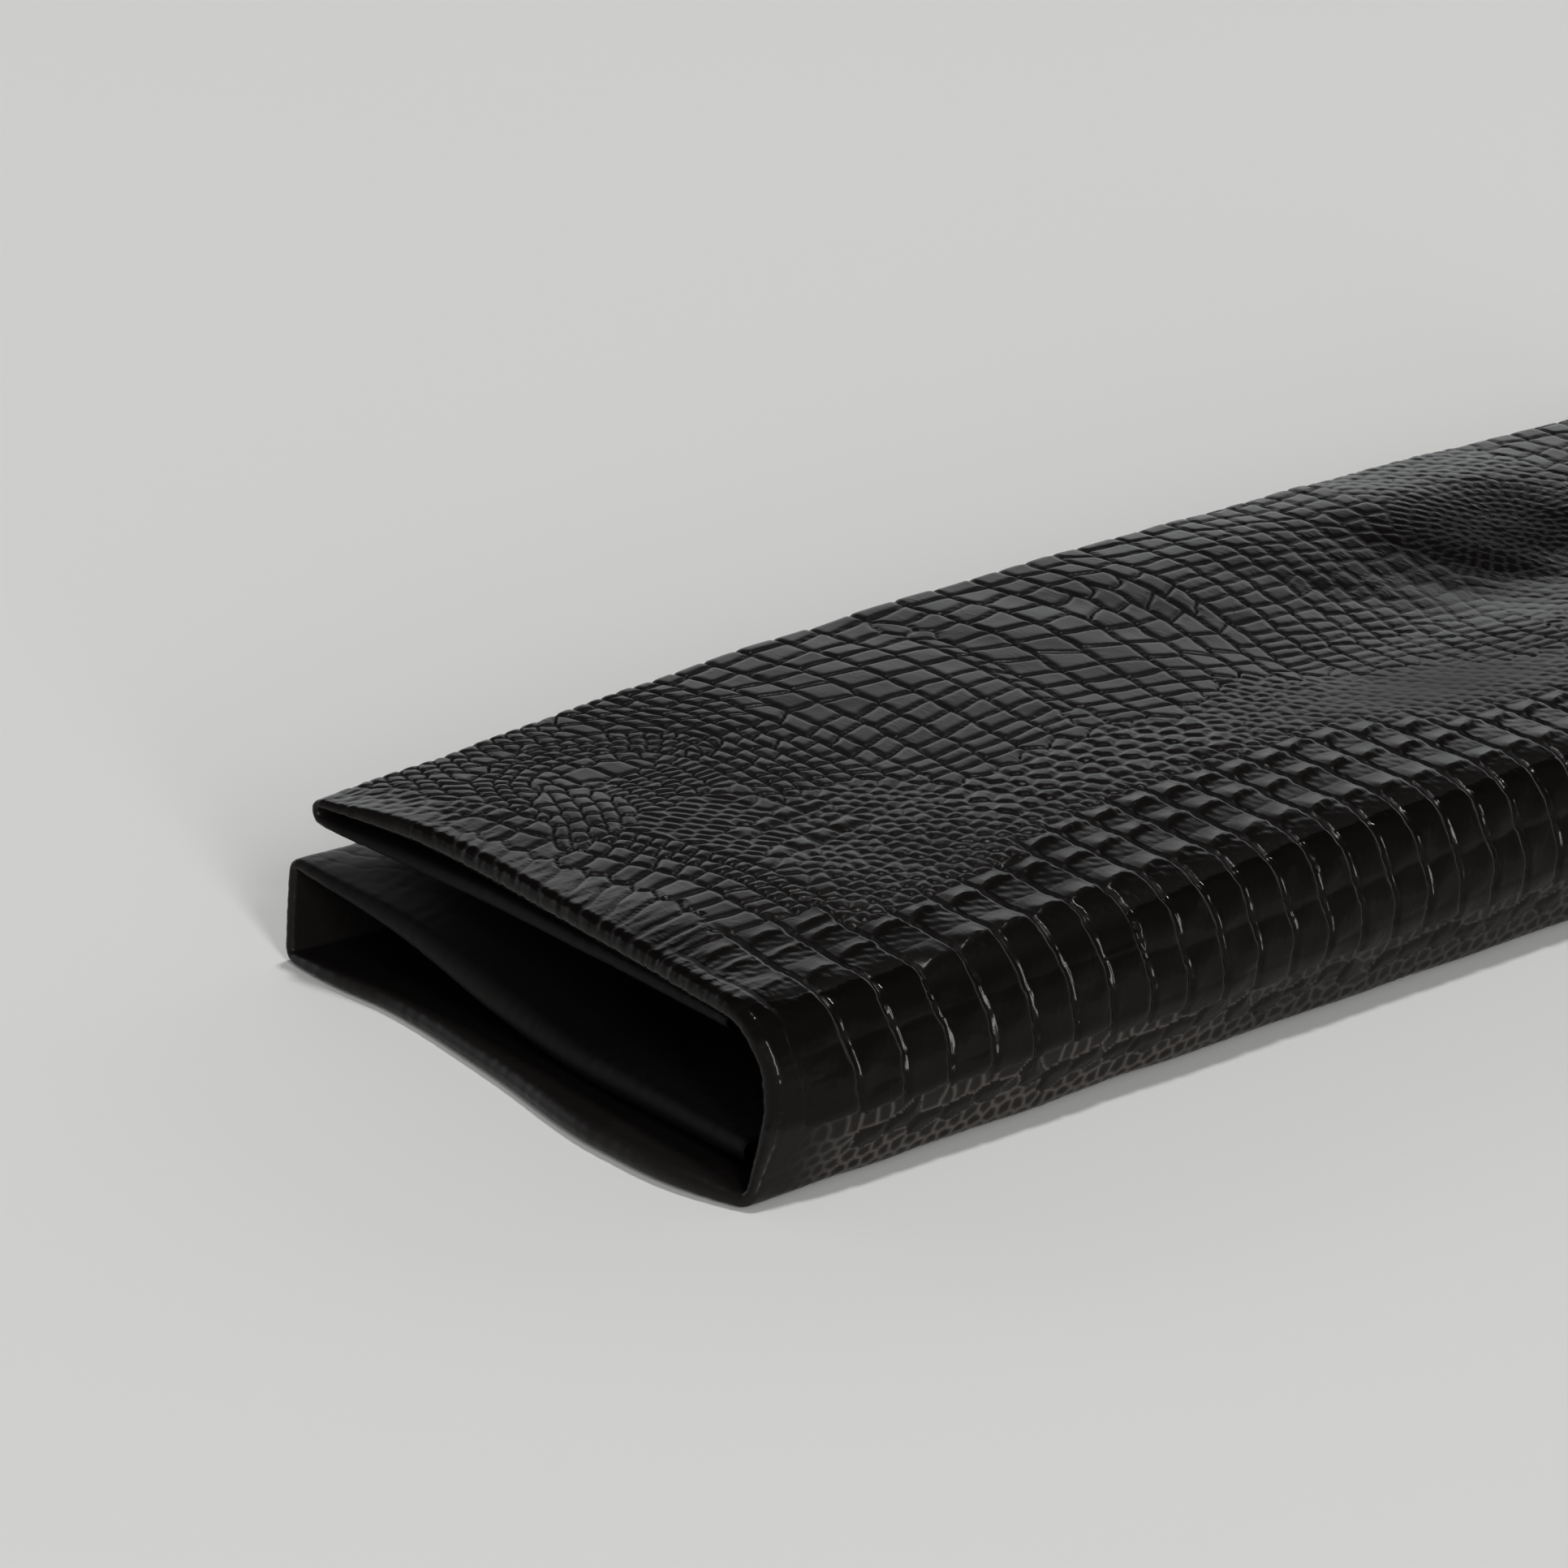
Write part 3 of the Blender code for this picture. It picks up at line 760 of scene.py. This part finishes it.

# %% [markdown]
# Before the pattern is read, the place is moved a little by a slow wave, so that no groove is
# ruler-straight. The plate bears less on the panels that lie inside the packet, on the nose of the near
# roll, round the far limb and on a worn patch before it; the worn patch and the wetter leather round the far
# limb are also painted darker, which is painted shade. Round the near roll the leather creases, and the
# top's is polished. The two panels inside were never polished, so they are nearly as dull as a groove, and
# they are painted as dark as one, which is painted shade inside the packet.

# %% Height of the grain
BEARING = (  # how deep the plate bears, at the fold's turns
    ("second_end", 0.08), ("tip_lower", 0.4), ("tip_upper", 1.0), ("spine_bottom", 1.0),
    ("under_spine", 0.2), ("left_bottom", 0.2), ("left_top", 0.3), ("middle_left", 0.1),
    ("middle_slope", 0.12), ("middle_end", 0.12),
)
BEARING_AT = [AT[name] for name, _ in BEARING]
BEARING_OF = [share for _, share in BEARING]
WORN = Patch(450, 95, 75, 32, 0.65)  # amount: the share of the relief that is lost
VORTEX = Patch(572, 198, 85, 52, 0.85)
FADING = 0.35  # the share that is lost beyond x 380 on the belly
# Shares of groove on the two panels inside: they are duller, and painted darker, which is painted shade
# inside the packet.
SECOND_DULL_AND_PAINTED_SHADE, MIDDLE_DULL_AND_PAINTED_SHADE = 0.8, 0.7


def grain(a, b):
    """Relief in mm, and how near a groove is, gloss and painted sheen (0 to 1), at places on the flat hide;
    the groove's share also paints shade on the panels inside.
    """
    shape = a.shape
    a, b = a.ravel(), b.ravel()
    x = b + NOSE + 0.5 * wave(a, b, 26, 1) + 0.25 * wave(a, b, 9, 2)
    y = RIDGE - a + 0.5 * wave(a, b, 24, 3) + 0.25 * wave(a, b, 8, 4)
    bands_here = back(x, y)
    relief, groove, gloss, pallor = single_scales(np.stack((x, y), axis=-1), bands_here.above)
    # The bands of the back take the place of the scales, and their grooves run out beyond them.
    on_back = (bands_here.row >= 0) & (bands_here.row < BACK_ROWS)
    relief = np.where(on_back, bands_here.relief, relief) - bands_here.channel
    groove = np.where(on_back, bands_here.groove, np.maximum(groove, bands_here.groove))
    gloss = np.where(on_back, bands_here.gloss, gloss)
    pallor = np.where(on_back, bands_here.pallor, pallor)
    bearing = np.interp(a, BEARING_AT, BEARING_OF)
    drawn = 0.2 + 0.8 * step(abs(b), 8, 32)
    fading = step(x, 380, 470) * step(y, 125, 150)
    wear_and_painted_light, vortex = within(WORN, x, y), within(VORTEX, x, y, power=2)
    lost = WORN.amount * wear_and_painted_light + VORTEX.amount * vortex + FADING * fading * (1 - vortex)
    relief = relief * bearing * drawn * (1 - lost * ~on_back)
    on_top = (a > AT["tip_upper"]) & (a < AT["spine_mid"])
    rolled = on_top * (1 - step(abs(b), 6, 30))
    # More gloss round the far limb also darkens the colour there, which is painted shade in the hollow.
    gloss = np.clip(gloss + np.where(on_back, 0, 0.22 * fading + 0.55 * vortex) + 0.4 * rolled, 0, 1)
    creases = 0.09 * wave(a, 0.15 * b, 7, 21) + 0.05 * wave(a, 0.3 * b, 3.4, 22)
    relief = relief + creases * (1 - step(abs(b), 10, 60))
    # The two panels inside the packet are made as dull as a groove and painted as dark as one, which is
    # painted shade inside the packet. The worn patch is painted darker too, which is painted shade.
    second = SECOND_DULL_AND_PAINTED_SHADE * step(a, AT["tip_lower"], AT["tip_lower"] - 25)
    middle = MIDDLE_DULL_AND_PAINTED_SHADE * step(a, AT["left_top"] + 3, AT["left_top"] + 28)
    groove = np.maximum(np.maximum(groove, 0.4 * wear_and_painted_light) * bearing, second + middle)
    return [values.reshape(shape) for values in (relief, groove, gloss, pallor)]


print("grain at the belly, mm:", np.round(grain(np.linspace(300, 330, 5), np.full(5, 250.0))[0], 2))

# %% [markdown]
# ## The leather as meshes
#
# A grid that is fine enough for the pebbles has some 440,000 points, too many for one mesh, so the hide
# is made in seven leaves that meet along lines of the flat hide. Each leaf starts as a flat grid, and its
# points are then put in place by `folded`. Where the leather was cut, the grid turns over the edge and a
# little way back under it, which shows the leather's thickness. Where leaves meet, the normals are worked
# out with one more row of each neighbour, so that no seam shows in the gloss.

# %% Lines of the grid
UNDERLAP = 14.0


def ruled(*stretches):
    """Grid lines: each stretch is (from, to, spacing), and its spacing is rounded to fit."""
    lines = [stretches[0][0]]
    for start, stop, spacing in stretches:
        count = max(1, round((stop - start) / spacing))
        lines += [start + (stop - start) * k / count for k in range(1, count + 1)]
    return lines


def with_edges(lines, cut_low, cut_high):
    """Grid lines as (place, depth), with a cut edge turned over, or one more line to measure normals with."""
    low, high = [(2 * lines[0] - lines[1], 0)], [(2 * lines[-1] - lines[-2], 0)]
    if cut_low:
        low = [(lines[0] + UNDERLAP, SHEET), (lines[0], SHEET)]
    if cut_high:
        high = [(lines[-1], SHEET), (lines[-1] - UNDERLAP, SHEET)]
    return np.array(low + [(line, 0) for line in lines] + high)


print("a cut edge and an open one:", with_edges([0, 50, 100], True, False).tolist())

# %% A grid as a mesh
def grid_mesh(name, point, normal, flat, layers):
    """A smooth mesh from a grid of points, with their places on the flat hide as its UV map."""
    rows, columns = point.shape[:2]
    bm = bmesh.new()
    bmesh.ops.create_grid(bm, x_segments=rows - 1, y_segments=columns - 1, size=1)
    mesh = bpy.data.meshes.new(name)
    bm.to_mesh(mesh)
    bm.free()
    # The new grid runs from -1 to 1 both ways, which says to which row and column each of its points belongs.
    grid = np.zeros(len(mesh.vertices) * 3)
    mesh.vertices.foreach_get("co", grid)
    grid = grid.reshape(-1, 3)
    i = np.rint((grid[:, 0] + 1) / 2 * (rows - 1)).astype(int)
    j = np.rint((grid[:, 1] + 1) / 2 * (columns - 1)).astype(int)
    mesh.vertices.foreach_set("co", point[i, j].ravel())
    for title, values in layers.items():
        layer = mesh.attributes.new(title, "FLOAT", "POINT")
        layer.data.foreach_set("value", values[i, j].astype(np.float32))
    corner = np.zeros(len(mesh.loops), int)
    mesh.loops.foreach_get("vertex_index", corner)
    mesh.uv_layers.new(name="hide").data.foreach_set("uv", flat[i, j][corner].ravel())
    mesh.shade_smooth()
    mesh.normals_split_custom_set_from_vertices(normal[i, j].tolist())
    return mesh


# %% A leaf of the hide
GRAIN_LEVEL = 0.35  # mm of relief that lie level with the smooth sheet's surface
PLAIN_GLOSS = 0.3
pieces = []


def leaf(name, lines_a, lines_b, cuts=(False, False, False, False), fine=True):
    """One leaf of the hide. Cuts says which of its low a, high a, low b and high b sides are cut edges."""
    rows_a = with_edges(lines_a, cuts[0], cuts[1])
    rows_b = with_edges(lines_b, cuts[2], cuts[3])
    a, b = np.meshgrid(rows_a[:, 0], rows_b[:, 0], indexing="ij")
    depth = np.maximum(rows_a[:, 1][:, None], rows_b[:, 1][None, :])
    relief, groove, gloss, pallor = grain(a, b) if fine else (0 * a, 0 * a, PLAIN_GLOSS + 0 * a, 0 * a)
    point = folded(a, b, SHEET / 2 - depth + (relief - GRAIN_LEVEL) * (depth == 0))
    normal = np.cross(np.gradient(point, axis=0), np.gradient(point, axis=1))
    normal /= np.maximum(np.linalg.norm(normal, axis=-1, keepdims=True), 1e-12)
    keep_a = slice(0 if cuts[0] else 1, None if cuts[1] else -1)
    keep_b = slice(0 if cuts[2] else 1, None if cuts[3] else -1)
    kept = (keep_a, keep_b)
    layers = {"groove": groove[kept], "gloss": gloss[kept], "pallor": pallor[kept]}
    mesh = grid_mesh(name, point[kept], normal[kept], np.stack((a, b), axis=-1)[kept] * MM, layers)
    piece = bpy.data.objects.new(name, mesh)
    bpy.context.scene.collection.objects.link(piece)
    pieces.append((piece, (lines_a[-1] - lines_a[0]) * MM, (lines_b[-1] - lines_b[0]) * MM))
    print(name, "triangles:", 2 * len(mesh.polygons))


# %% [markdown]
# The leaf names say where each lies. The mouth is the near end, 45 mm of the outer sheet and 60 mm of the
# inner one. The top leaves carry the pattern that the eye falls on, over the top panel and down the
# spine. The lower leaf is the bottom panel, the left wall and the middle panel, and the inner leaf is the
# hidden half of every pair. The spacing of the grid lines, the last number of each stretch, is finest
# where the camera is nearest.

# %% The seven leaves
TIP = AT["tip_lower"] - 8
BACK_TOP = RIDGE - 84
FOOT = AT["spine_bottom"] + 12
WALL_FOOT = AT["left_bottom"] - 10
WALL_HEAD = AT["left_top"] + 12
MOUTH_IN = -60.0
MOUTH_OUT = 45.0
NEAR_END = 250.0
MID_END = 470.0

mouth_a = ruled((0, TIP, 1.9), (TIP, BACK_TOP, 1.15), (BACK_TOP, FOOT, 0.9), (FOOT, WALL_FOOT, 1.9),
                (WALL_FOOT, HIDE_WIDTH, 1.6))
leaf("hide_mouth", mouth_a, ruled((MOUTH_IN, MOUTH_OUT, 1.2)), (True, True, False, False))
leaf("hide_top_near", ruled((TIP, BACK_TOP, 1.1), (BACK_TOP, FOOT, 0.85)), ruled((MOUTH_OUT, NEAR_END, 1.0)))
leaf("hide_top_mid", ruled((TIP, BACK_TOP, 1.15), (BACK_TOP, FOOT, 0.9)), ruled((NEAR_END, MID_END, 1.05)))
far_a = ruled((TIP, BACK_TOP, 1.4), (BACK_TOP, FOOT, 1.3))
leaf("hide_top_far", far_a, ruled((MID_END, HIDE_HALF, 1.4)), (False, False, False, True))
lower_a = ruled((FOOT, WALL_FOOT, 6), (WALL_FOOT, WALL_HEAD, 2), (WALL_HEAD, HIDE_WIDTH, 4))
leaf("hide_lower", lower_a, ruled((MOUTH_OUT, HIDE_HALF, 2)), (False, True, False, True))
leaf("hide_second", ruled((0, TIP, 3.5)), ruled((MOUTH_OUT, HIDE_HALF, 4)), (True, False, False, True))
inner_b = ruled((-HIDE_HALF, MOUTH_IN, 5))
leaf("hide_inner", ruled((0, HIDE_WIDTH, 5)), inner_b, (True, True, True, False), fine=False)
print("triangles in all:", sum(2 * len(piece.data.polygons) for piece, _, _ in pieces))

# %% [markdown]
# ## The leather's finish
#
# This is full-thickness cowhide, drum-dyed black, embossed, and glazed: rolled under a glass cylinder
# that polishes what stands proud. To the eye that gives an almost black body, a satin sheen over the
# belly, a wet gloss on the back, and grooves that stay a little duller. Fine creases cross the scales,
# and the pores of the grain are smaller than the picture shows, so they only roughen the gloss.
#
# The index of refraction is that of its acrylic and wax finish, about 1.5, which is also the shader's
# own. The specular level is well under its default: leather that faces the camera then stays as black as
# it is in the photo, while what is seen at a grazing angle still shines.

# %% A helper for material nodes
def linear(hex_colour):
    """An sRGB hex colour as linear RGBA."""
    parts = [int(hex_colour[i:i + 2], 16) / 255 for i in (1, 3, 5)]
    return (*[p / 12.92 if p <= 0.04045 else ((p + 0.055) / 1.055) ** 2.4 for p in parts], 1.0)


def add(tree, kind, inputs=None, **settings):
    """Add a node. Inputs maps a socket's name or number to a value, or to (node, output) for a link."""
    item = tree.nodes.new(kind)
    for key, value in settings.items():
        setattr(item, key, value)
    for key, value in (inputs or {}).items():
        if isinstance(value, tuple) and isinstance(value[0], bpy.types.Node):
            tree.links.new(value[0].outputs[value[1]], item.inputs[key])
        else:
            item.inputs[key].default_value = value
    return item


# %% Glazed, embossed cowhide
CREASE_M = 0.0032  # spacing of the fine creases
CREASE_STRETCH = 2.2  # they run across the hide more than along it, so the pattern is stretched by this much
GRAIN_M = 0.0009  # coarser than real pores of 0.2 mm, which would not show
SATIN_ROUGHNESS = 0.27  # of the belly
WET_ROUGHNESS = 0.10  # of the back
GROOVE_ROUGHNESS = 0.40  # what a groove adds
LEATHER_SPECULAR = 0.12


def glazed_cowhide():
    """Black glazed cowhide, embossed with crocodile scales."""
    material = bpy.data.materials.new("glazed_embossed_cowhide")
    material.use_nodes = True
    tree = material.node_tree
    shader = tree.nodes["Principled BSDF"]
    hide = add(tree, "ShaderNodeUVMap", uv_map="hide")
    groove = add(tree, "ShaderNodeAttribute", attribute_name="groove")
    gloss = add(tree, "ShaderNodeAttribute", attribute_name="gloss")
    pallor = add(tree, "ShaderNodeAttribute", attribute_name="pallor")

    # The fine grain: creases first, and pores on top of them.
    stretched = add(tree, "ShaderNodeMapping", {"Vector": (hide, "UV"), "Scale": (1.0, CREASE_STRETCH, 1.0)})
    creases = add(tree, "ShaderNodeTexNoise", {
        "Vector": (stretched, "Vector"), "Scale": 1 / CREASE_M / CREASE_STRETCH, "Detail": 3.0,
        "Roughness": 0.6, "Distortion": 0.6}, noise_type="RIDGED_MULTIFRACTAL", normalize=True)
    pores = add(tree, "ShaderNodeTexNoise", {"Vector": (hide, "UV"), "Scale": 1 / GRAIN_M, "Detail": 2.0})
    crease_bump = add(tree, "ShaderNodeBump", {
        "Height": (creases, "Fac"), "Strength": 0.25, "Distance": 0.0004})
    pore_bump = add(tree, "ShaderNodeBump", {
        "Height": (pores, "Fac"), "Strength": 0.10, "Distance": 0.0002, "Normal": (crease_bump, "Normal")})

    # Gloss: 0.3 is the satin belly, 1 the wet-looking back. Grooves stay duller, and the polish is uneven.
    patches = add(tree, "ShaderNodeTexNoise", {"Vector": (hide, "UV"), "Scale": 14.0, "Detail": 3.0})
    polish = add(tree, "ShaderNodeMapRange", {
        "Value": (gloss, "Fac"), "From Min": 0.3, "From Max": 1.0, "To Min": SATIN_ROUGHNESS,
        "To Max": WET_ROUGHNESS})
    uneven = add(tree, "ShaderNodeMath", {0: (patches, "Fac"), 1: 0.06, 2: (polish, "Result")},
                 operation="MULTIPLY_ADD")
    dull = add(tree, "ShaderNodeMath", {0: (groove, "Fac"), 1: GROOVE_ROUGHNESS, 2: (uneven, "Value")},
               operation="MULTIPLY_ADD")
    tree.links.new(dull.outputs["Value"], shader.inputs["Roughness"])

    # The colour is paler where the leather is matt and darker where it is wet, which is painted sheen on the
    # matt places and painted shade on the wet ones.
    wear_and_painted_light = add(tree, "ShaderNodeMix", {
        "Factor": (gloss, "Fac"), "A": linear("#171514"), "B": linear("#0a0807")}, data_type="RGBA")
    # The pale ridges of the net are painted sheen.
    painted_sheen_on_ridges = add(tree, "ShaderNodeMix", {
        "Factor": (pallor, "Fac"), "A": (wear_and_painted_light, "Result"), "B": linear("#46423f")}, data_type="RGBA")
    # Grooves are darker, and so are the two panels inside the packet, which is painted shade there.
    grooves_and_painted_shade = add(tree, "ShaderNodeMix", {
        "Factor": (groove, "Fac"), "A": (painted_sheen_on_ridges, "Result"), "B": linear("#050404")}, data_type="RGBA")
    tree.links.new(grooves_and_painted_shade.outputs["Result"], shader.inputs["Base Color"])
    tree.links.new(pore_bump.outputs["Normal"], shader.inputs["Normal"])
    shader.inputs["Specular IOR Level"].default_value = LEATHER_SPECULAR
    shader.inputs["Specular Tint"].default_value = linear("#fffaf8")  # the wax in the finish is faintly brown
    return material


leather = glazed_cowhide()
for piece, width, length in pieces:
    piece.data.materials.append(leather)
    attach(piece, "root")
    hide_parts("hide")
print("material:", leather.name)

# %% [markdown]
# ## Floor and light
#
# A plain pale floor reaches past the picture on every side, so no horizon shows. It is matt, because the
# photo's floor mirrors nothing.

# %% Floor
FLOOR_HALF = 12.0


def painted_floor():
    """Matt studio paint."""
    material = bpy.data.materials.new("matt_studio_paint")
    material.use_nodes = True
    tree = material.node_tree
    shader = tree.nodes["Principled BSDF"]
    place = add(tree, "ShaderNodeTexCoord")
    mottle = add(tree, "ShaderNodeTexNoise", {"Vector": (place, "Object"), "Scale": 1.2, "Detail": 2.0})
    tint = add(tree, "ShaderNodeMix", {
        "Factor": (mottle, "Fac"), "A": linear("#e0e0dd"), "B": linear("#e2e2e0")}, data_type="RGBA")
    tree.links.new(tint.outputs["Result"], shader.inputs["Base Color"])
    shader.inputs["Roughness"].default_value = 0.9
    shader.inputs["Specular IOR Level"].default_value = 0.1
    return material


bm = bmesh.new()
bmesh.ops.create_grid(bm, x_segments=1, y_segments=1, size=FLOOR_HALF)
floor_mesh = bpy.data.meshes.new("floor")
bm.to_mesh(floor_mesh)
bm.free()
floor = bpy.data.objects.new("floor", floor_mesh)
floor.location.z = -0.0002
bpy.context.scene.collection.objects.link(floor)
floor_mesh.materials.append(painted_floor())

# %% [markdown]
# The light is a studio's. A tall softbox stands to the right of the camera, square to the side of the
# packet, and draws the glints on its scales. A small reflector above draws the thin lines along the
# grooves of the top. All round is a dim room, which the glossy leather mirrors: behind the packet a pale
# wall, which gives the top panel its grazing sheen, and before it little light, so that what faces the
# camera stays dark, but for a paler window on the camera's side.

# %% Lamps
SOFTBOX_TOWARD = (-0.30, -0.90, 0.36)  # the way to the lamp from the packet
SOFTBOX_DISTANCE = 30.0
SOFTBOX_WIDE = 4.0
SOFTBOX_TALL = 20.0
SOFTBOX_RADIANCE = 22.0
REFLECTOR_TOWARD = (0.20, 0.03, 1.0)
REFLECTOR_DISTANCE = 4.0
REFLECTOR_ENERGY = 1.20
REFLECTOR_ANGLE = math.radians(6)


def aimed(light, toward, distance):
    """Put a light into the scene, a distance away in a direction, shining back at the packet."""
    item = bpy.data.objects.new(light.name, light)
    way = Vector(toward).normalized()
    item.location = way * distance
    item.rotation_mode = "QUATERNION"
    item.rotation_quaternion = way.to_track_quat("Z", "Y")
    bpy.context.scene.collection.objects.link(item)


softbox = bpy.data.lights.new("softbox_front", "AREA")
softbox.shape = "RECTANGLE"
softbox.size = SOFTBOX_WIDE
softbox.size_y = SOFTBOX_TALL
softbox.energy = SOFTBOX_RADIANCE * math.pi * SOFTBOX_WIDE * SOFTBOX_TALL
aimed(softbox, SOFTBOX_TOWARD, SOFTBOX_DISTANCE)
reflector = bpy.data.lights.new("reflector_top", "SUN")
reflector.energy = REFLECTOR_ENERGY
reflector.angle = REFLECTOR_ANGLE
aimed(reflector, REFLECTOR_TOWARD, REFLECTOR_DISTANCE)
print("lamps:", [item.name for item in bpy.data.lights])

# %% Room
BEHIND_PACKET = (0.63, 0.78, 0.0)  # the way from the camera over the packet, along the floor


def studio():
    """A dark room: a pale wall behind the packet, and before it little light but for a paler window."""
    world = bpy.data.worlds.new("studio")
    world.use_nodes = True
    tree = world.node_tree
    way = add(tree, "ShaderNodeTexCoord")
    parts = add(tree, "ShaderNodeSeparateXYZ", {"Vector": (way, "Generated")})
    behind = add(tree, "ShaderNodeVectorMath", {0: (way, "Generated"), 1: BEHIND_PACKET},
                 operation="DOT_PRODUCT")
    # The wall fades out between 24 and 34 degrees up.
    wall = add(tree, "ShaderNodeMapRange", {
        "Value": (parts, "Z"), "From Min": 0.41, "From Max": 0.56, "To Min": 1.15, "To Max": 0.02},
        interpolation_type="SMOOTHSTEP")
    before = add(tree, "ShaderNodeMapRange", {
        "Value": (parts, "Z"), "From Min": 0.0, "From Max": 0.5, "To Min": 0.48, "To Max": 0.14})
    side = add(tree, "ShaderNodeMapRange", {"Value": (behind, "Value"), "From Min": 0.05, "From Max": 0.5})
    window = add(tree, "ShaderNodeMapRange", {
        "Value": (behind, "Value"), "From Min": -0.5, "From Max": -0.95, "To Min": 0.0, "To Max": 0.45})
    ahead = add(tree, "ShaderNodeMath", {0: (before, "Result"), 1: (window, "Result")}, operation="ADD")
    room = add(tree, "ShaderNodeMix", {
        "Factor": (side, "Result"), "A": (ahead, "Value"), "B": (wall, "Result")})
    tree.nodes["Background"].inputs["Color"].default_value = linear("#fbfdff")
    tree.links.new(room.outputs["Result"], tree.nodes["Background"].inputs["Strength"])
    return world


bpy.context.scene.world = studio()
bpy.context.scene.view_settings.view_transform = "Standard"
print("world:", bpy.context.scene.world.name)
